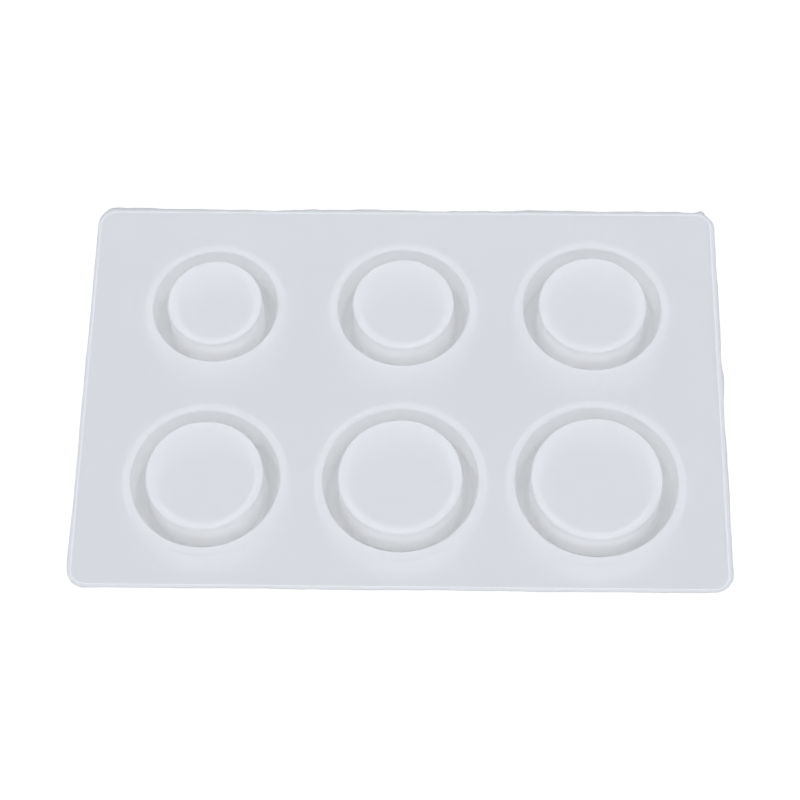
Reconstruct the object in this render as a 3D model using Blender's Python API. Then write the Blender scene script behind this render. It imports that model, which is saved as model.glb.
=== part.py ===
"""Ring casting mould in soft white silicone: one thin sheet with six ring-shaped troughs under it.

Each trough is a round cup whose middle is filled by a hollow core, so resin poured between the two
sets as a finger ring. The ring bores grow in even steps from the rear left to the front right.
Metres, +Z up. The origin is on the ground under the middle of the sheet, with +X along its length.
"""

import math

import bmesh
import bpy

MM = 0.001

# Cast rings
SMALLEST_BORE = 15.0 * MM
BORE_STEP = 1.0 * MM
RING_BAND = 2.3 * MM
RING_DEPTH = 6.5 * MM

# Walls of the moulding
SHEET_THICKNESS = 1.2 * MM
CUP_WALL = 1.2 * MM
CUP_FLOOR = 1.2 * MM
CORE_WALL = 1.2 * MM
CORE_ROOF = 1.2 * MM
CORE_RISE = 1.15 * MM

# Layout of the sheet
COLUMNS = ("left", "middle", "right")
ROWS = ("rear", "front")
CUP_SPACING = 2.75 * MM
END_MARGIN = 6.25 * MM
SIDE_MARGIN = 4.1 * MM
CORNER_RADIUS = 2.8 * MM

# Rounded edges
SHEET_EDGE_ROUND = 0.4 * MM
RIM_ROUND = 0.3 * MM
CORE_EDGE_ROUND = 0.3 * MM
CUP_FOOT_ROUND = 0.5 * MM
TROUGH_ROUND = 0.4 * MM

# Seat between neighbouring zones of the moulding
SEAM = 0.3 * MM

# Smoothness of round shapes
TURN_STEPS = 40
CORNER_STEPS = 6
ROUND_STEPS = 2
SMOOTH_ANGLE = math.radians(40.0)
AXIS_MERGE = 0.01 * MM

# Slope at which a mouth's rounded lip runs out into the sheet's face
LIP_SLOPE_DEGREES = 30.0

# Colours and gloss of the silicone
SHEET_COLOUR = (0.80, 0.83, 0.86)
CUP_COLOUR = (0.82, 0.85, 0.87)
CORE_COLOUR = (0.83, 0.86, 0.88)
MOULDED_ROUGHNESS = 0.40
GLOSSY_ROUGHNESS = 0.30

# Heights
TROUGH_FLOOR_Z = CUP_FLOOR
SHEET_TOP_Z = TROUGH_FLOOR_Z + RING_DEPTH
SHEET_UNDER_Z = SHEET_TOP_Z - SHEET_THICKNESS
CORE_TOP_Z = SHEET_TOP_Z + CORE_RISE

# Plan sizes
LARGEST_BORE = SMALLEST_BORE + BORE_STEP * (len(COLUMNS) * len(ROWS) - 1)
LARGEST_CUP = LARGEST_BORE + 2.0 * (RING_BAND + CUP_WALL)
PITCH = LARGEST_CUP + CUP_SPACING
SHEET_LENGTH = PITCH * (len(COLUMNS) - 1) + LARGEST_CUP + 2.0 * END_MARGIN
SHEET_WIDTH = PITCH * (len(ROWS) - 1) + LARGEST_CUP + 2.0 * SIDE_MARGIN


def silicone(name, colour, roughness):
    """Give a plain silicone material with one colour and one roughness."""
    material = bpy.data.materials.new(name)
    material.use_nodes = True
    shader = material.node_tree.nodes["Principled BSDF"]
    shader.inputs["Base Color"].default_value = (*colour, 1.0)
    shader.inputs["Roughness"].default_value = roughness
    shader.inputs["Metallic"].default_value = 0.0
    return material


def arc(centre, radius, first_degrees, last_degrees, steps):
    """List the points of an arc about a centre, both ends included."""
    points = []
    for step in range(steps + 1):
        angle = math.radians(first_degrees + (last_degrees - first_degrees) * step / steps)
        points.append((centre[0] + radius * math.cos(angle), centre[1] + radius * math.sin(angle)))
    return points


def new_object(name, mesh, parent, location=(0.0, 0.0, 0.0)):
    """Put a mesh into the scene under a parent."""
    made = bpy.data.objects.new(name, mesh)
    bpy.context.collection.objects.link(made)
    made.parent = parent
    made.location = location
    return made


def turned(name, profile, closed, parent, location):
    """Turn a profile of (radius, height) points about the Z axis through a location."""
    mesh = bpy.data.meshes.new(name)
    count = len(profile)
    edges = [(index, index + 1) for index in range(count - 1)]
    if closed:
        edges.append((count - 1, 0))
    mesh.from_pydata([(radius, 0.0, height) for radius, height in profile], edges, [])
    made = new_object(name, mesh, parent, location)
    screw = made.modifiers.new("turn", "SCREW")
    screw.axis = "Z"
    screw.angle = 2.0 * math.pi
    screw.steps = TURN_STEPS
    screw.render_steps = TURN_STEPS
    screw.use_merge_vertices = True
    screw.merge_threshold = AXIS_MERGE
    screw.use_smooth_shade = True
    return made


def hole_cutter(name, radius, parent, location):
    """Cut a round hole through the sheet, with its upper lip rounded outwards."""
    reach = SHEET_THICKNESS
    centre = (radius + RIM_ROUND, SHEET_TOP_Z - RIM_ROUND)
    lip = arc(centre, RIM_ROUND, 90.0 + LIP_SLOPE_DEGREES, 180.0, ROUND_STEPS)
    rise = reach * math.tan(math.radians(LIP_SLOPE_DEGREES))
    mouth = (lip[0][0] + reach, lip[0][1] + rise)
    profile = [(0.0, mouth[1]), mouth, *lip]
    profile += [(radius, SHEET_UNDER_Z - reach), (0.0, SHEET_UNDER_Z - reach)]
    cutter = turned(name, profile, False, parent, location)
    cutter.hide_render = True
    cutter.display_type = "WIRE"
    return cutter


def top_sheet(parent, material):
    """Make the flat sheet: a rounded rectangle with a softened upper edge."""
    half_length = SHEET_LENGTH / 2.0 - CORNER_RADIUS
    half_width = SHEET_WIDTH / 2.0 - CORNER_RADIUS
    outline = []
    corners = ((1, 1, 0.0), (-1, 1, 90.0), (-1, -1, 180.0), (1, -1, 270.0))
    for side_x, side_y, start in corners:
        centre = (side_x * half_length, side_y * half_width)
        outline += arc(centre, CORNER_RADIUS, start, start + 90.0, CORNER_STEPS)
    shape = bmesh.new()
    base = shape.faces.new([shape.verts.new((x, y, SHEET_UNDER_Z)) for x, y in outline])
    raised = bmesh.ops.extrude_face_region(shape, geom=[base], use_keep_orig=True)
    upper = [item for item in raised["geom"] if isinstance(item, bmesh.types.BMVert)]
    bmesh.ops.translate(shape, verts=upper, vec=(0.0, 0.0, SHEET_THICKNESS))
    bmesh.ops.recalc_face_normals(shape, faces=shape.faces)
    above = set(upper)
    upper_edges = [edge for edge in shape.edges if all(vert in above for vert in edge.verts)]
    bmesh.ops.bevel(
        shape,
        geom=upper_edges,
        offset=SHEET_EDGE_ROUND,
        segments=ROUND_STEPS,
        profile=0.5,
        affect="EDGES",
    )
    mesh = bpy.data.meshes.new("top_sheet")
    shape.to_mesh(mesh)
    shape.free()
    made = new_object("top_sheet", mesh, parent)
    mesh.materials.append(material)
    return made


def cup(name, bore, parent, location, material):
    """Make one cup: the outer wall of a trough and its floor, open in the middle under the core."""
    inside = bore / 2.0 + RING_BAND
    outside = inside + CUP_WALL
    hollow = bore / 2.0 - CORE_WALL
    top = SHEET_UNDER_Z - SEAM
    profile = [(outside, top)]
    foot = (outside - CUP_FOOT_ROUND, CUP_FOOT_ROUND)
    profile += arc(foot, CUP_FOOT_ROUND, 0.0, -90.0, ROUND_STEPS)
    profile += [(hollow, 0.0), (hollow, TROUGH_FLOOR_Z)]
    bend = (inside - TROUGH_ROUND, TROUGH_FLOOR_Z + TROUGH_ROUND)
    profile += arc(bend, TROUGH_ROUND, -90.0, 0.0, ROUND_STEPS)
    profile += [(inside, top)]
    made = turned(name, profile, True, parent, location)
    made.data.materials.append(material)
    return made


def core(name, bore, parent, location, material):
    """Make one core: the inner wall of a trough with a roof on it, hollow and open below."""
    outside = bore / 2.0
    hollow = outside - CORE_WALL
    bottom = TROUGH_FLOOR_Z + SEAM
    ceiling = CORE_TOP_Z - CORE_ROOF
    edge = (outside - CORE_EDGE_ROUND, CORE_TOP_Z - CORE_EDGE_ROUND)
    profile = [(0.0, CORE_TOP_Z)]
    profile += arc(edge, CORE_EDGE_ROUND, 90.0, 0.0, ROUND_STEPS)
    profile += [(outside, bottom), (hollow, bottom), (hollow, ceiling), (0.0, ceiling)]
    made = turned(name, profile, False, parent, location)
    made.data.materials.append(material)
    return made


def cavities():
    """List each cavity's place name, its ring's bore and its centre, from rear left to front right."""
    listed = []
    for row, row_name in enumerate(ROWS):
        for column, column_name in enumerate(COLUMNS):
            bore = SMALLEST_BORE + BORE_STEP * (row * len(COLUMNS) + column)
            x = PITCH * (column - (len(COLUMNS) - 1) / 2.0)
            y = PITCH * ((len(ROWS) - 1) / 2.0 - row)
            listed.append((f"{row_name}_{column_name}", bore, (x, y, 0.0)))
    return listed


def shade_sheet(sheet):
    """Shade the sheet's round corners smooth and keep its flat faces crisp."""
    sheet.data.shade_smooth()
    sheet.data.set_sharp_from_angle(angle=SMOOTH_ANGLE)


def build():
    """Clear the scene and build the mould's sheet, cups and cores."""
    for old in list(bpy.data.objects):
        bpy.data.objects.remove(old)
    mould = bpy.data.objects.new("mould", None)
    bpy.context.collection.objects.link(mould)
    sheet_silicone = silicone("sheet_silicone", SHEET_COLOUR, GLOSSY_ROUGHNESS)
    cup_silicone = silicone("cup_silicone", CUP_COLOUR, MOULDED_ROUGHNESS)
    core_silicone = silicone("core_silicone", CORE_COLOUR, GLOSSY_ROUGHNESS)
    sheet = top_sheet(mould, sheet_silicone)
    for place, bore, centre in cavities():
        cutter = hole_cutter(f"cutter_{place}", bore / 2.0 + RING_BAND, mould, centre)
        cut = sheet.modifiers.new(f"hole_{place}", "BOOLEAN")
        cut.operation = "DIFFERENCE"
        cut.object = cutter
        cup(f"cup_{place}", bore, mould, centre, cup_silicone)
        core(f"core_{place}", bore, mould, centre, core_silicone)
    shade_sheet(sheet)


build()
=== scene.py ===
import math

import bmesh
import bpy
import numpy as np
from mathutils import Euler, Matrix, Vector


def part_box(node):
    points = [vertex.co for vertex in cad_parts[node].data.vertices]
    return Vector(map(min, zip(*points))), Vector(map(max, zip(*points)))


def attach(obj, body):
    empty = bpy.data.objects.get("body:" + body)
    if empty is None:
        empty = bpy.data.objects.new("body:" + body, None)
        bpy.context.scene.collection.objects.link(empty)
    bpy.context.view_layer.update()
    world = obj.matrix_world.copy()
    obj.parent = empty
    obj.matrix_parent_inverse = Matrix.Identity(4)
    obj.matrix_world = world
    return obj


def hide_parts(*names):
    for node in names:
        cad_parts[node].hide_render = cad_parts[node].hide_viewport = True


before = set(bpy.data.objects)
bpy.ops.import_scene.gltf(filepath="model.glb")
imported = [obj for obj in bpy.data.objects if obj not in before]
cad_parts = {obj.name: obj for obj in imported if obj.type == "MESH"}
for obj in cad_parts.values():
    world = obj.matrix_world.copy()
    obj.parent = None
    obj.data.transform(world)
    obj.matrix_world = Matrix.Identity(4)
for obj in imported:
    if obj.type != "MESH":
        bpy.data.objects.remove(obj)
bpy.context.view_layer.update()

MM = 0.001

# Cavities of the mould, by the place names of their nodes
COLUMNS = ("left", "middle", "right")
ROWS = ("rear", "front")

# Walls of the moulding, and the gap left under each core
WALL = 1.2 * MM
CORE_SEAT = 0.02 * MM

# Rounded edges, and how far the bead at a core's foot reaches under the core
CORNER_RADIUS = 2.8 * MM
TOP_EDGE_ROUND = 0.45 * MM
RIM_ROUND = 0.30 * MM
CORE_EDGE_ROUND = 0.30 * MM
FOOT_ROUND = 0.50 * MM
TROUGH_ROUND = 1.00 * MM
ROOT_ROUND = 0.35 * MM
BEAD_BITE = 0.08 * MM

# Outer edge of the sheet, as insets from its outline: face, side and underside
FACE_INSET = 0.60 * MM
SIDE_INSET = 0.02 * MM
UNDER_INSET = 0.50 * MM

# Where the shoulder's arc ends, in degrees, with 90 at the face
SHOULDER_END = 130.0

# The front edge lies a trace further in, and its insets are smaller by a share
FRONT_TRIM = 0.02 * MM
FRONT_SHARPNESS = 0.5

# Trimmed flash round the edge: its height, its thickness, and how far it stands out at each side
FLASH_HEIGHT = 0.75 * MM
FLASH_LIP = 0.10 * MM
FLASH_LEFT = 0.12 * MM
FLASH_RIGHT = 0.24 * MM
FLASH_REAR = 0.42 * MM
FLASH_FRONT = 0.16 * MM

# Waves of the flash, each a count round the sheet, a start in radians and a share of the reach
FLASH_WAVES = ((9, 0.9, 0.22), (23, 0.3, 0.17), (57, 2.1, 0.11), (131, 4.0, 0.07))

# Places where the flash was trimmed less, as a place in plan, a width and a height, in millimetres
FLASH_BUMPS = (
    (-42.5, 32.5, 5.0, 0.20),
    (49.5, 2.5, 2.0, 0.30),
    (47.6, 32.3, 0.6, 0.50),
    (-49.5, -27.0, 3.5, 0.12),
)

# Fineness of the meshes, as counts of steps, and how far a side's steps crowd towards its corners
SIDE_STEPS = 48
TURN_STEPS = 192
ROUND_STEPS = 6
FACE_STEPS = 8
UNDER_STEPS = 6
WALL_STEPS = 8
SHORT_STEPS = 3
SEAT_STEPS = 4
FOOT_STEPS = 5
CORNER_CROWDING = 0.5

# Small lengths: points merged, slivers removed, levels taken as equal, and the least divisor
MERGE_DISTANCE = 0.001 * MM
SLIVER_LENGTH = 0.0005 * MM
LEVEL_SLACK = 0.001 * MM
LEAST_LENGTH = 1e-12

# How clear the silicone is at each point of a mesh: 1 on thin faces, less over walls and on them
CLEARNESS = "clearness"
RIM_CLEARNESS = 0.82
CORE_EDGE_CLEARNESS = 0.88
CORE_WALL_CLEARNESS = 0.12
WALL_CLEARNESS = 0.0
TROUGH_CLEARNESS = 0.95
EDGE_CLEARNESS = 0.10

# Height over which a trough's floor passes into its wall, and width over which a thin face passes into a wall
FLOOR_FADE = 1.2 * MM
THIN_EDGE = 0.1 * MM

# How far light travels inside the silicone at each point of a mesh, and how deep the sheet's outline counts
SCATTER = "scatter"
FACE_SCATTER = 1.0 * MM
OVER_WALL_SCATTER = 1.0 * MM
WALL_SCATTER = 0.6 * MM
EDGE_SCATTER = 0.35 * MM
EDGE_DEPTH = 0.25 * MM

# Box of the sheet in the frame, and the troughs' floors, one wall above the ground
SHEET_LOW, SHEET_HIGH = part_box("top_sheet")
SHEET_TOP_Z = SHEET_HIGH.z
SHEET_UNDER_Z = SHEET_LOW.z
TROUGH_FLOOR_Z = WALL


def arc(centre_radius, centre_height, radius, first_degrees, last_degrees):
    """Points of an arc in a radius and height plane: the centre plus radius times cosine and sine."""
    angle = np.radians(np.linspace(first_degrees, last_degrees, ROUND_STEPS + 1))
    across = centre_radius + radius * np.cos(angle)
    return np.column_stack([across, centre_height + radius * np.sin(angle)])


def line(start, end, steps):
    """Points evenly spaced from start to end, without the end."""
    share = np.arange(steps)[:, None] / steps
    return np.asarray(start) * (1.0 - share) + np.asarray(end) * share


def carried_grid(profile, centre, direction):
    """Grid of a radius and height profile carried round a centre.

    Each point is the centre plus the profile's radius times a direction, at the profile's height."""
    flat = centre[None, None, :] + profile[:, 0, None, None] * direction[None]
    heights = np.broadcast_to(profile[:, 1, None, None], (*flat.shape[:2], 1))
    return np.concatenate([flat, heights], axis=2)


def grid_faces(rows, columns):
    """Quads of a grid of points stored row by row, closed round its columns."""
    row, column = np.meshgrid(np.arange(rows - 1), np.arange(columns), indexing="ij")
    following = (column + 1) % columns
    corners = [row * columns + column, row * columns + following]
    corners += [(row + 1) * columns + following, (row + 1) * columns + column]
    return np.stack(corners, axis=-1).reshape(-1, 4)


def mesh_object(name, points, faces, clearness, scatter, material):
    """Make a smooth closed mesh object at the origin, with its doubled seam points merged.

    Clearness and scatter, one number per point each, say how thin the silicone is there and how far light
    travels in it."""
    mesh = bpy.data.meshes.new(name)
    mesh.from_pydata(points.tolist(), [], faces.tolist())
    for attribute_name, values in ((CLEARNESS, clearness), (SCATTER, scatter)):
        attribute = mesh.attributes.new(attribute_name, "FLOAT", "POINT")
        attribute.data.foreach_set("value", values.astype(np.float32))
    shape = bmesh.new()
    shape.from_mesh(mesh)
    bmesh.ops.remove_doubles(shape, verts=shape.verts, dist=MERGE_DISTANCE)
    bmesh.ops.dissolve_degenerate(shape, edges=shape.edges, dist=SLIVER_LENGTH)
    bmesh.ops.recalc_face_normals(shape, faces=shape.faces)
    shape.to_mesh(mesh)
    shape.free()
    mesh.shade_smooth()
    mesh.materials.append(material)
    made = bpy.data.objects.new(name, mesh)
    bpy.context.collection.objects.link(made)
    return made


def node_radius(name):
    """Radius of a round node, from its box along X."""
    low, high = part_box(name)
    return (high.x - low.x) / 2.0


def cavity_centre(row, column):
    """Centre of a cavity in plan, from its cup's node."""
    low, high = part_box(f"cup_{row}_{column}")
    return (low.x + high.x) / 2.0, (low.y + high.y) / 2.0


def side_share():
    """Shares along one side of a cell, from 0 to just under 1, crowded towards both ends by a sine."""
    even = np.arange(SIDE_STEPS) / SIDE_STEPS
    return even - CORNER_CROWDING * np.sin(2.0 * np.pi * even) / (2.0 * np.pi)


def side_points(start, end):
    """Points along one cell side from start to just before end, at the shared spacing."""
    share = side_share()[:, None]
    return np.asarray(start) * (1.0 - share) + np.asarray(end) * share


def round_corners(points, inset):
    """Move points on a rectangle's edge onto the same rectangle with rounded corners, by direction.

    The inset shrinks towards the front by the square of the direction's part that points there."""
    low = np.array([SHEET_LOW.x + CORNER_RADIUS, SHEET_LOW.y + FRONT_TRIM + CORNER_RADIUS])
    high = np.array([SHEET_HIGH.x - CORNER_RADIUS, SHEET_HIGH.y - CORNER_RADIUS])
    nearest = np.clip(points, low, high)
    away = points - nearest
    length = np.linalg.norm(away, axis=1, keepdims=True)
    direction = away / np.maximum(length, LEAST_LENGTH)
    forward = np.maximum(-direction[:, 1:], 0.0)
    radius = CORNER_RADIUS - inset * (1.0 - FRONT_SHARPNESS * forward ** 2)
    in_corner = np.all(np.abs(away) > 0.0, axis=1, keepdims=True)
    return np.where(in_corner, nearest + radius * direction, points)


def cell_breaks(inset):
    """Lines that part the sheet into one cell per cavity, along X and along Y, inset at the outer edge."""
    centres_x = [cavity_centre("rear", column)[0] for column in COLUMNS]
    middles_x = [(a + b) / 2.0 for a, b in zip(centres_x, centres_x[1:])]
    middle_y = (cavity_centre("rear", "left")[1] + cavity_centre("front", "left")[1]) / 2.0
    breaks_x = [SHEET_LOW.x + inset, *middles_x, SHEET_HIGH.x - inset]
    front_inset = FRONT_TRIM + inset * (1.0 - FRONT_SHARPNESS)
    breaks_y = [SHEET_LOW.y + front_inset, middle_y, SHEET_HIGH.y - inset]
    return breaks_x, breaks_y


def cell_border(row, column, inset):
    """Closed border of one cavity's cell, anticlockwise from its lower left corner."""
    breaks_x, breaks_y = cell_breaks(inset)
    across = COLUMNS.index(column)
    up = len(ROWS) - 1 - ROWS.index(row)
    x0, x1 = breaks_x[across], breaks_x[across + 1]
    y0, y1 = breaks_y[up], breaks_y[up + 1]
    corners = [(x0, y0), (x1, y0), (x1, y1), (x0, y1)]
    sides = [side_points(start, end) for start, end in zip(corners, corners[1:] + corners[:1])]
    return round_corners(np.concatenate(sides), inset)


def sheet_outline(inset):
    """Closed outline of the whole sheet, made of the outer sides of its cells."""
    breaks_x, breaks_y = cell_breaks(inset)
    left, right = breaks_x[0], breaks_x[-1]
    low, high = breaks_y[0], breaks_y[-1]
    back_x = breaks_x[::-1]
    back_y = breaks_y[::-1]
    sides = [side_points((a, low), (b, low)) for a, b in zip(breaks_x, breaks_x[1:])]
    sides += [side_points((right, a), (right, b)) for a, b in zip(breaks_y, breaks_y[1:])]
    sides += [side_points((a, high), (b, high)) for a, b in zip(back_x, back_x[1:])]
    sides += [side_points((left, a), (left, b)) for a, b in zip(back_y, back_y[1:])]
    return round_corners(np.concatenate(sides), inset)


def blend_rows(border, circle, height, shares):
    """Flat rows that pass from a cell's border to a circle, at one height."""
    share = np.asarray(shares)[:, None, None]
    flat = border[None] * (1.0 - share) + circle[None] * share
    return np.concatenate([flat, np.full((*flat.shape[:2], 1), height)], axis=2)


def cup_profile(outside, mouth, bead, hollow):
    """Radius and height profile of a cup, from the sheet's face to the sheet's underside.

    It goes over the rim, down the wall, through the rounded trough, up the bead at the core's foot, in under
    the core, and then back along the cup's foot and up its outer wall."""
    trough_z = TROUGH_FLOOR_Z + TROUGH_ROUND
    rim_z = SHEET_TOP_Z - RIM_ROUND
    root_z = SHEET_UNDER_Z - ROOT_ROUND
    return np.concatenate([
        line((outside + THIN_EDGE, SHEET_TOP_Z), (outside, SHEET_TOP_Z), SHORT_STEPS),
        line((outside, SHEET_TOP_Z), (mouth + RIM_ROUND, SHEET_TOP_Z), SHORT_STEPS),
        arc(mouth + RIM_ROUND, rim_z, RIM_ROUND, 90.0, 180.0),
        line((mouth, rim_z), (mouth, trough_z), WALL_STEPS)[1:],
        arc(mouth - TROUGH_ROUND, trough_z, TROUGH_ROUND, 0.0, -90.0),
        arc(bead + TROUGH_ROUND, trough_z, TROUGH_ROUND, -90.0, -180.0),
        line((bead, trough_z), (bead, TROUGH_FLOOR_Z), SHORT_STEPS)[1:],
        line((bead, TROUGH_FLOOR_Z), (hollow, TROUGH_FLOOR_Z), SEAT_STEPS),
        line((hollow, TROUGH_FLOOR_Z), (hollow, 0.0), SHORT_STEPS),
        line((hollow, 0.0), (outside - FOOT_ROUND, 0.0), FOOT_STEPS),
        arc(outside - FOOT_ROUND, FOOT_ROUND, FOOT_ROUND, -90.0, 0.0),
        line((outside, FOOT_ROUND), (outside, root_z), WALL_STEPS)[1:],
        arc(outside + ROOT_ROUND, root_z, ROOT_ROUND, 180.0, 90.0),
    ])


def cavity_skin(row, column):
    """One cavity's skin as a grid, with the clearness and the scatter of its points.

    The sheet's face and underside are flat rows from the cell's border to the cup, and the cup's profile is
    carried round between them. Each column of the grid lies in one direction from the cavity's centre.
    Clearness rises to 1, and scatter to the thin face's, over a small width outside the cup's wall."""
    outside = node_radius(f"cup_{row}_{column}")
    core_radius = node_radius(f"core_{row}_{column}")
    profile = cup_profile(outside, outside - WALL, core_radius - BEAD_BITE, core_radius - WALL)
    centre = np.array(cavity_centre(row, column))
    top_border = cell_border(row, column, FACE_INSET)
    under_border = cell_border(row, column, UNDER_INSET)
    away = top_border - centre
    direction = away / np.linalg.norm(away, axis=1, keepdims=True)
    turned = carried_grid(profile, centre, direction)
    top_shares = np.linspace(0.0, 1.0, FACE_STEPS + 1)[:-1]
    top = blend_rows(top_border, turned[0, :, :2], SHEET_TOP_Z, top_shares)
    under_shares = np.linspace(1.0, 0.0, UNDER_STEPS + 1)[1:]
    under = blend_rows(under_border, turned[-1, :, :2], SHEET_UNDER_Z, under_shares)
    grid = np.concatenate([top, turned, under])
    reach = np.linalg.norm(grid[:, :, :2] - centre, axis=2)
    thin = np.clip((reach - outside) / THIN_EDGE, 0.0, 1.0)
    height = grid[:, :, 2]
    rim_z = SHEET_TOP_Z - RIM_ROUND
    scatter = np.where(height > rim_z, OVER_WALL_SCATTER, WALL_SCATTER)
    scatter = scatter + (FACE_SCATTER - scatter) * thin
    above_floor = np.clip((height - TROUGH_FLOOR_Z) / FLOOR_FADE, 0.0, 1.0)
    on_wall = TROUGH_CLEARNESS + (WALL_CLEARNESS - TROUGH_CLEARNESS) * above_floor
    clearness = np.where(height > rim_z - LEVEL_SLACK, RIM_CLEARNESS, on_wall)
    return grid, clearness + (1.0 - clearness) * thin, scatter


def flash_reach(outline, outward):
    """How far the flash stands out.

    It is a reach for each side, blended round the corners by the squares of the outward direction, times one
    plus four sine waves, and a few Gaussian bumps."""
    turn = 2.0 * np.pi * np.arange(len(outline)) / len(outline)
    x, y = outward[:, 0], outward[:, 1]
    sideways = np.where(x < 0.0, FLASH_LEFT, FLASH_RIGHT)
    endways = np.where(y < 0.0, FLASH_FRONT, FLASH_REAR)
    reach = sideways * x ** 2 + endways * y ** 2
    reach *= 1.0 + sum(share * np.sin(count * turn + start) for count, start, share in FLASH_WAVES)
    for place_x, place_y, width, height in FLASH_BUMPS:
        distance = np.linalg.norm(outline - np.array([place_x, place_y]) * MM, axis=1)
        reach += height * MM * np.exp(-((distance / (width * MM)) ** 2))
    return reach


def edge_strip():
    """The sheet's outer edge as a grid, with the clearness and the scatter of its points.

    A rounded shoulder, a side, the flash and the side's foot form a profile of inset and height, which is
    carried round the outline. The flash is moved out along the outline's normals by its reach."""
    shoulder = SHEET_TOP_Z - TOP_EDGE_ROUND
    flash = SHEET_UNDER_Z + FLASH_HEIGHT
    above = np.concatenate([
        arc(FACE_INSET, shoulder, TOP_EDGE_ROUND, 90.0, SHOULDER_END),
        [(SIDE_INSET, flash + FLASH_LIP)],
    ])
    below = [(SIDE_INSET, flash - FLASH_LIP), (UNDER_INSET, SHEET_UNDER_Z)]
    outline = sheet_outline(SIDE_INSET)
    along = np.roll(outline, -1, axis=0) - np.roll(outline, 1, axis=0)
    outward = np.column_stack([along[:, 1], -along[:, 0]])
    outward /= np.linalg.norm(outward, axis=1, keepdims=True)
    tip = outline + outward * flash_reach(outline, outward)[:, None]
    rows = [(sheet_outline(inset), height) for inset, height in above]
    rows += [(tip, flash + FLASH_LIP / 2.0), (tip, flash - FLASH_LIP / 2.0)]
    rows += [(sheet_outline(inset), height) for inset, height in below]
    grid = np.stack([np.column_stack([flat, np.full(len(flat), height)]) for flat, height in rows])
    clearness = np.full(grid.shape[:2], EDGE_CLEARNESS)
    clearness[0] = 1.0
    return grid, clearness, np.full(grid.shape[:2], FACE_SCATTER)


def edge_scatter(points, scatter):
    """How far light travels at each point: less within a small depth of the sheet's outline.

    The depth is the corner radius less the length of the part of |x, y| beyond the corners' centres."""
    half = np.array([SHEET_HIGH.x, SHEET_HIGH.y]) - CORNER_RADIUS
    beyond = np.maximum(np.abs(points[:, :2]) - half, 0.0)
    depth = CORNER_RADIUS - np.linalg.norm(beyond, axis=1)
    return np.where(depth < EDGE_DEPTH, EDGE_SCATTER, scatter)


def moulding_skin(material):
    """The sheet and its six cups as one closed skin."""
    grids = [cavity_skin(row, column) for row in ROWS for column in COLUMNS]
    grids.append(edge_strip())
    points = []
    faces = []
    clearness = []
    scatter = []
    offset = 0
    for grid, grid_clearness, grid_scatter in grids:
        rows, columns = grid.shape[:2]
        points.append(grid.reshape(-1, 3))
        clearness.append(grid_clearness.reshape(-1))
        scatter.append(grid_scatter.reshape(-1))
        faces.append(grid_faces(rows, columns) + offset)
        offset += rows * columns
    points = np.concatenate(points)
    faces = np.concatenate(faces)
    clearness = np.concatenate(clearness)
    scatter = edge_scatter(points, np.concatenate(scatter))
    return mesh_object("moulding_skin", points, faces, clearness, scatter, material)


def core_profile(outside, hollow, top):
    """Radius and height profile of a hollow core, from its roof's middle round to its ceiling's middle."""
    ceiling = top - WALL
    bottom = TROUGH_FLOOR_Z + CORE_SEAT
    edge_z = top - CORE_EDGE_ROUND
    root_z = ceiling - ROOT_ROUND
    return np.concatenate([
        line((0.0, top), (hollow - THIN_EDGE, top), FACE_STEPS),
        line((hollow - THIN_EDGE, top), (hollow, top), SHORT_STEPS),
        line((hollow, top), (outside - CORE_EDGE_ROUND, top), SHORT_STEPS),
        arc(outside - CORE_EDGE_ROUND, edge_z, CORE_EDGE_ROUND, 90.0, 0.0),
        line((outside, edge_z), (outside, bottom), WALL_STEPS)[1:],
        line((outside, bottom), (hollow, bottom), SHORT_STEPS),
        line((hollow, bottom), (hollow, root_z), WALL_STEPS),
        arc(hollow - ROOT_ROUND, root_z, ROOT_ROUND, 0.0, 90.0),
        line((hollow - ROOT_ROUND, ceiling), (0.0, ceiling), FACE_STEPS)[1:],
        [(0.0, ceiling)],
    ])


def core_skin(row, column, material):
    """One hollow core: a profile turned about the cavity's axis, closed at both poles.

    Clearness rises to 1, and scatter to the thin face's, over a small width inside the core's wall."""
    node = f"core_{row}_{column}"
    outside = node_radius(node)
    hollow = outside - WALL
    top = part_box(node)[1].z
    profile = core_profile(outside, hollow, top)
    angle = 2.0 * np.pi * np.arange(TURN_STEPS) / TURN_STEPS
    direction = np.column_stack([np.cos(angle), np.sin(angle)])
    grid = carried_grid(profile, np.array(cavity_centre(row, column)), direction)
    rows, columns = grid.shape[:2]
    thin = np.clip((hollow - profile[:, 0]) / THIN_EDGE, 0.0, 1.0)
    on_face = profile[:, 1] > top - CORE_EDGE_ROUND - LEVEL_SLACK
    clearness = np.where(on_face, CORE_EDGE_CLEARNESS, CORE_WALL_CLEARNESS)
    clearness = (clearness + (1.0 - clearness) * thin).repeat(columns)
    scatter = np.where(on_face, OVER_WALL_SCATTER, WALL_SCATTER)
    scatter = (scatter + (FACE_SCATTER - scatter) * thin).repeat(columns)
    name = f"core_skin_{row}_{column}"
    faces = grid_faces(rows, columns)
    return mesh_object(name, grid.reshape(-1, 3), faces, clearness, scatter, material)


# Milky silicone: its two tints and the size of the cloud between them
CLOUD_DARK = (0.986, 0.982, 0.978)
CLOUD_LIGHT = (0.988, 0.984, 0.980)
CLOUD_SCALE = 110.0

# Share of light that passes straight through where the silicone is clear
SHEET_SEE_THROUGH = 0.30
CORE_SEE_THROUGH = 0.28

# Fine grain: roughness at its low and high places, its size, and its relief
ROUGHNESS_LOW = 0.32
ROUGHNESS_HIGH = 0.38
GRAIN_SCALE = 1500.0
GRAIN_STRENGTH = 0.04
GRAIN_DEPTH = 0.01 * MM

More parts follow.
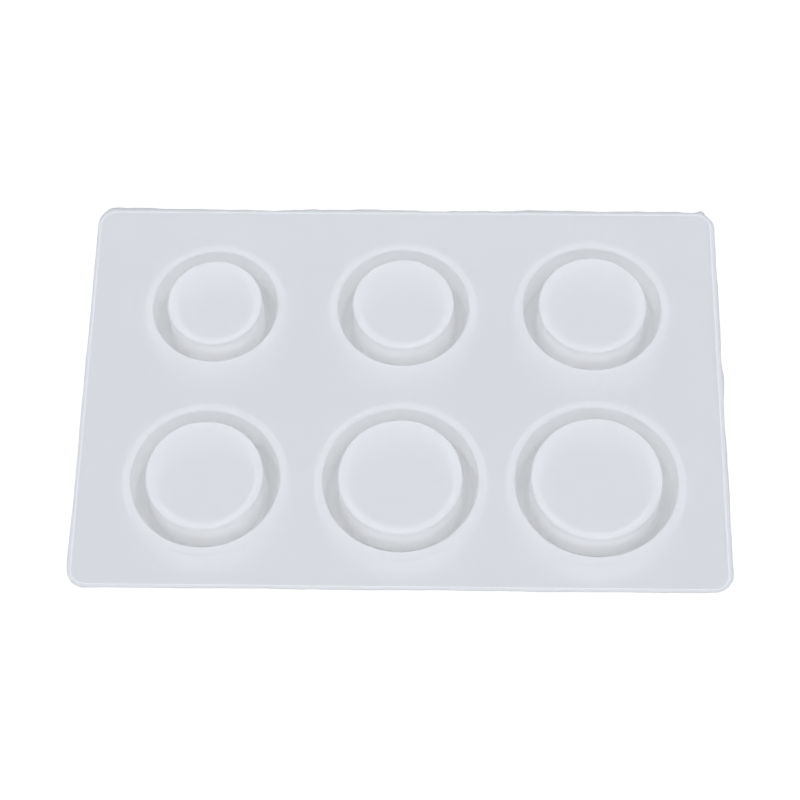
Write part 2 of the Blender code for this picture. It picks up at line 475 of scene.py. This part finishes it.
# Light inside the silicone, alike for red, green and blue, and the satin skin on it
SILICONE_IOR = 1.41
SCATTER_WEIGHT = 1.0
SCATTER_RADIUS = (1.0, 1.0, 1.0)
SATIN_WEIGHT = 1.0
SATIN_ROUGHNESS = 0.45


def milky_silicone(name, see_through):
    """Milky silicone: most light scatters inside it, and a share passes through as haze.

    Light that meets a wall from within leaves it without scattering again, so that a wall counts once."""
    material = bpy.data.materials.new(name)
    material.use_nodes = True
    nodes = material.node_tree.nodes
    link = material.node_tree.links.new
    shader = nodes["Principled BSDF"]
    place = nodes.new("ShaderNodeTexCoord")

    cloud = nodes.new("ShaderNodeTexNoise")
    cloud.inputs["Scale"].default_value = CLOUD_SCALE
    link(place.outputs["Object"], cloud.inputs["Vector"])
    tint = nodes.new("ShaderNodeMix")
    tint.data_type = "RGBA"
    tint.inputs["A"].default_value = (*CLOUD_DARK, 1.0)
    tint.inputs["B"].default_value = (*CLOUD_LIGHT, 1.0)
    link(cloud.outputs["Fac"], tint.inputs["Factor"])
    link(tint.outputs["Result"], shader.inputs["Base Color"])

    grain = nodes.new("ShaderNodeTexNoise")
    grain.inputs["Scale"].default_value = GRAIN_SCALE
    link(place.outputs["Object"], grain.inputs["Vector"])
    matt = nodes.new("ShaderNodeMapRange")
    matt.inputs["To Min"].default_value = ROUGHNESS_LOW
    matt.inputs["To Max"].default_value = ROUGHNESS_HIGH
    link(grain.outputs["Fac"], matt.inputs["Value"])
    link(matt.outputs["Result"], shader.inputs["Roughness"])
    relief = nodes.new("ShaderNodeBump")
    relief.inputs["Strength"].default_value = GRAIN_STRENGTH
    relief.inputs["Distance"].default_value = GRAIN_DEPTH
    link(grain.outputs["Fac"], relief.inputs["Height"])
    link(relief.outputs["Normal"], shader.inputs["Normal"])

    shader.inputs["IOR"].default_value = SILICONE_IOR
    shader.inputs["Subsurface Weight"].default_value = SCATTER_WEIGHT
    shader.inputs["Subsurface Radius"].default_value = SCATTER_RADIUS
    reach = nodes.new("ShaderNodeAttribute")
    reach.attribute_name = SCATTER
    link(reach.outputs["Fac"], shader.inputs["Subsurface Scale"])
    shader.inputs["Coat Weight"].default_value = SATIN_WEIGHT
    shader.inputs["Coat Roughness"].default_value = SATIN_ROUGHNESS
    shader.inputs["Coat IOR"].default_value = SILICONE_IOR

    sides = nodes.new("ShaderNodeNewGeometry")
    thin = nodes.new("ShaderNodeAttribute")
    thin.attribute_name = CLEARNESS
    haze = nodes.new("ShaderNodeMath")
    haze.operation = "MULTIPLY"
    haze.inputs[1].default_value = see_through
    link(thin.outputs["Fac"], haze.inputs[0])
    share = nodes.new("ShaderNodeMath")
    share.operation = "MAXIMUM"
    link(sides.outputs["Backfacing"], share.inputs[0])
    link(haze.outputs["Value"], share.inputs[1])
    link(share.outputs["Value"], shader.inputs["Transmission Weight"])
    return material


def dress():
    """Make every piece of the object and tie it to the frame."""
    moulding = moulding_skin(milky_silicone("milky_sheet", SHEET_SEE_THROUGH))
    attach(moulding, "root")
    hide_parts("top_sheet", *[f"cup_{row}_{column}" for row in ROWS for column in COLUMNS])
    core_material = milky_silicone("milky_core", CORE_SEE_THROUGH)
    for row in ROWS:
        for column in COLUMNS:
            core = core_skin(row, column, core_material)
            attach(core, "root")
            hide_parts(f"core_{row}_{column}")


# Camera of the photograph: its place from the middle of the sheet's face, and its angles in degrees
CAMERA_PLACE = (6.87 * MM, -144.91 * MM, 294.21 * MM)
CAMERA_TILT = 26.004
CAMERA_ROLL = 0.929
CAMERA_TURN = 0.943
CAMERA_VIEW = 21.40
CAMERA_NEAR = 10.0 * MM


def camera():
    """Place the camera above the sheet's face, tilted back from straight down."""
    lens = bpy.data.cameras.new("camera")
    lens.sensor_fit = "HORIZONTAL"
    lens.angle = math.radians(CAMERA_VIEW)
    lens.clip_start = CAMERA_NEAR
    made = bpy.data.objects.new("camera", lens)
    made.location = (CAMERA_PLACE[0], CAMERA_PLACE[1], CAMERA_PLACE[2] + SHEET_TOP_Z)
    angles = (CAMERA_TILT, CAMERA_ROLL, CAMERA_TURN)
    made.rotation_euler = Euler([math.radians(angle) for angle in angles], "XYZ")
    bpy.context.collection.objects.link(made)
    bpy.context.scene.camera = made


# Sky: its colour, and its strength at the horizon and overhead
SKY_COLOUR = (0.930, 0.978, 1.055)
SKY_AT_HORIZON = 0.380
SKY_OVERHEAD = 0.955

# Two soft lamps: places and sizes in metres, turns in degrees, power in watts
SOFTBOX_PLACE = (0.0, 0.405, 0.620)
SOFTBOX_SIZE = 0.60
SOFTBOX_TURN = 31.2
SOFTBOX_POWER = 1.20
FILL_PLACE = (0.0, -0.55, 0.30)
FILL_SIZE = 0.50
FILL_TURN = 0.0
FILL_POWER = 1.20

# Floor paper: its colour, darkened near the mould as painted shade, and the white that only shows in
# pictures, each near the mould and in the open
PAPER_ROUGHNESS = 0.9
PAPER_SHINE = 0.0
# Painted shade: the paper's colour near and under the mould, darker than in the open
PAPER_PAINTED_SHADE = 0.10
PAPER_OPEN = 0.55
WHITE = (1.0, 1.0, 1.0, 1.0)
WHITE_SHADED = 0.95
WHITE_OPEN = 0.58

# Where the paper's painted shade begins to lift and where it ends, outside the outline
SHADE_START = 10.0 * MM
SHADE_END = 50.0 * MM

# The floor's reach to each side in metres, and its drop below the mould
FLOOR_REACH = 2.0
FLOOR_DROP = 0.02 * MM

# Bounces that light may make before it is dropped
LIGHT_BOUNCES = 96


def hung_softbox(name, place, size, turn_degrees, power):
    """A square soft lamp that hangs level and faces down, turned about the vertical."""
    lamp = bpy.data.lights.new(name, "AREA")
    lamp.shape = "SQUARE"
    lamp.size = size
    lamp.energy = power
    made = bpy.data.objects.new(name, lamp)
    made.location = place
    made.rotation_euler = (0.0, 0.0, math.radians(turn_degrees))
    bpy.context.collection.objects.link(made)


def floor_paper():
    """White paper, with painted shade in its colour near the mould, that shows as white to the camera and
    keeps its shadows.

    The distance outside the outline is the larger of |x| less half the length and |y| less half the width.
    Over the shade's width the paper's colour, darkened near the mould as painted shade, rises and the white
    that only shows in pictures falls.
    Mirrored and see-through rays meet that white outside the shade alone."""
    paper = bpy.data.materials.new("white_paper")
    paper.use_nodes = True
    nodes = paper.node_tree.nodes
    link = paper.node_tree.links.new

    def math_node(operation, *values):
        """Output of a math node on numbers and other nodes' outputs."""
        node = nodes.new("ShaderNodeMath")
        node.operation = operation
        for socket, value in zip(node.inputs, values):
            if isinstance(value, float):
                socket.default_value = value
            else:
                link(value, socket)
        return node.outputs[0]

    def across_shade(near, far):
        """Output that passes from one number to another over the shade's width."""
        node = nodes.new("ShaderNodeMapRange")
        node.inputs["From Min"].default_value = SHADE_START
        node.inputs["From Max"].default_value = SHADE_END
        node.inputs["To Min"].default_value = near
        node.inputs["To Max"].default_value = far
        link(outside, node.inputs["Value"])
        return node.outputs["Result"]

    place = nodes.new("ShaderNodeTexCoord")
    split = nodes.new("ShaderNodeSeparateXYZ")
    link(place.outputs["Object"], split.inputs[0])
    beyond_x = math_node("SUBTRACT", math_node("ABSOLUTE", split.outputs["X"]), SHEET_HIGH.x)
    beyond_y = math_node("SUBTRACT", math_node("ABSOLUTE", split.outputs["Y"]), SHEET_HIGH.y)
    outside = math_node("MAXIMUM", beyond_x, beyond_y)
    rays = nodes.new("ShaderNodeLightPath")
    bent = math_node("MAXIMUM", rays.outputs["Is Glossy Ray"], rays.outputs["Is Transmission Ray"])
    bent_outside = math_node("MULTIPLY", bent, across_shade(0.0, 1.0))
    shown = math_node("MAXIMUM", rays.outputs["Is Camera Ray"], bent_outside)
    glow = math_node("MULTIPLY", shown, across_shade(WHITE_SHADED, WHITE_OPEN))
    surface = nodes["Principled BSDF"]
    surface.inputs["Roughness"].default_value = PAPER_ROUGHNESS
    surface.inputs["Specular IOR Level"].default_value = PAPER_SHINE
    surface.inputs["Emission Color"].default_value = WHITE
    # Painted shade: the paper's colour is darker near the mould and lighter in the open
    link(across_shade(PAPER_PAINTED_SHADE, PAPER_OPEN), surface.inputs["Base Color"])
    link(glow, surface.inputs["Emission Strength"])
    return paper


def sky():
    """A cool sky whose strength rises with height from the horizon to overhead."""
    world = bpy.data.worlds.new("studio")
    bpy.context.scene.world = world
    world.use_nodes = True
    nodes = world.node_tree.nodes
    link = world.node_tree.links.new
    background = nodes["Background"]
    background.inputs["Color"].default_value = (*SKY_COLOUR, 1.0)
    place = nodes.new("ShaderNodeTexCoord")
    split = nodes.new("ShaderNodeSeparateXYZ")
    link(place.outputs["Generated"], split.inputs[0])
    rise = nodes.new("ShaderNodeMapRange")
    rise.inputs["To Min"].default_value = SKY_AT_HORIZON
    rise.inputs["To Max"].default_value = SKY_OVERHEAD
    link(split.outputs["Z"], rise.inputs["Value"])
    link(rise.outputs["Result"], background.inputs["Strength"])


def studio():
    """A sky, a soft lamp above the rear, a soft fill at the front, and a white floor."""
    sky()
    hung_softbox("rear_softbox", SOFTBOX_PLACE, SOFTBOX_SIZE, SOFTBOX_TURN, SOFTBOX_POWER)
    hung_softbox("front_fill", FILL_PLACE, FILL_SIZE, FILL_TURN, FILL_POWER)
    floor_mesh = bpy.data.meshes.new("floor")
    corners = [(-FLOOR_REACH, -FLOOR_REACH, -FLOOR_DROP), (FLOOR_REACH, -FLOOR_REACH, -FLOOR_DROP)]
    corners += [(FLOOR_REACH, FLOOR_REACH, -FLOOR_DROP), (-FLOOR_REACH, FLOOR_REACH, -FLOOR_DROP)]
    floor_mesh.from_pydata(corners, [], [(0, 1, 2, 3)])
    floor_mesh.materials.append(floor_paper())
    floor = bpy.data.objects.new("floor", floor_mesh)
    bpy.context.collection.objects.link(floor)


def light_paths():
    """Let light pass many walls before it is dropped, and keep haze as it is.

    Otherwise the troughs come out too dark."""
    cycles = bpy.context.scene.cycles
    cycles.max_bounces = LIGHT_BOUNCES
    cycles.diffuse_bounces = LIGHT_BOUNCES
    cycles.glossy_bounces = LIGHT_BOUNCES
    cycles.transmission_bounces = LIGHT_BOUNCES
    cycles.blur_glossy = 0.0


dress()
camera()
studio()
light_paths()
bpy.context.scene.view_settings.view_transform = "Standard"
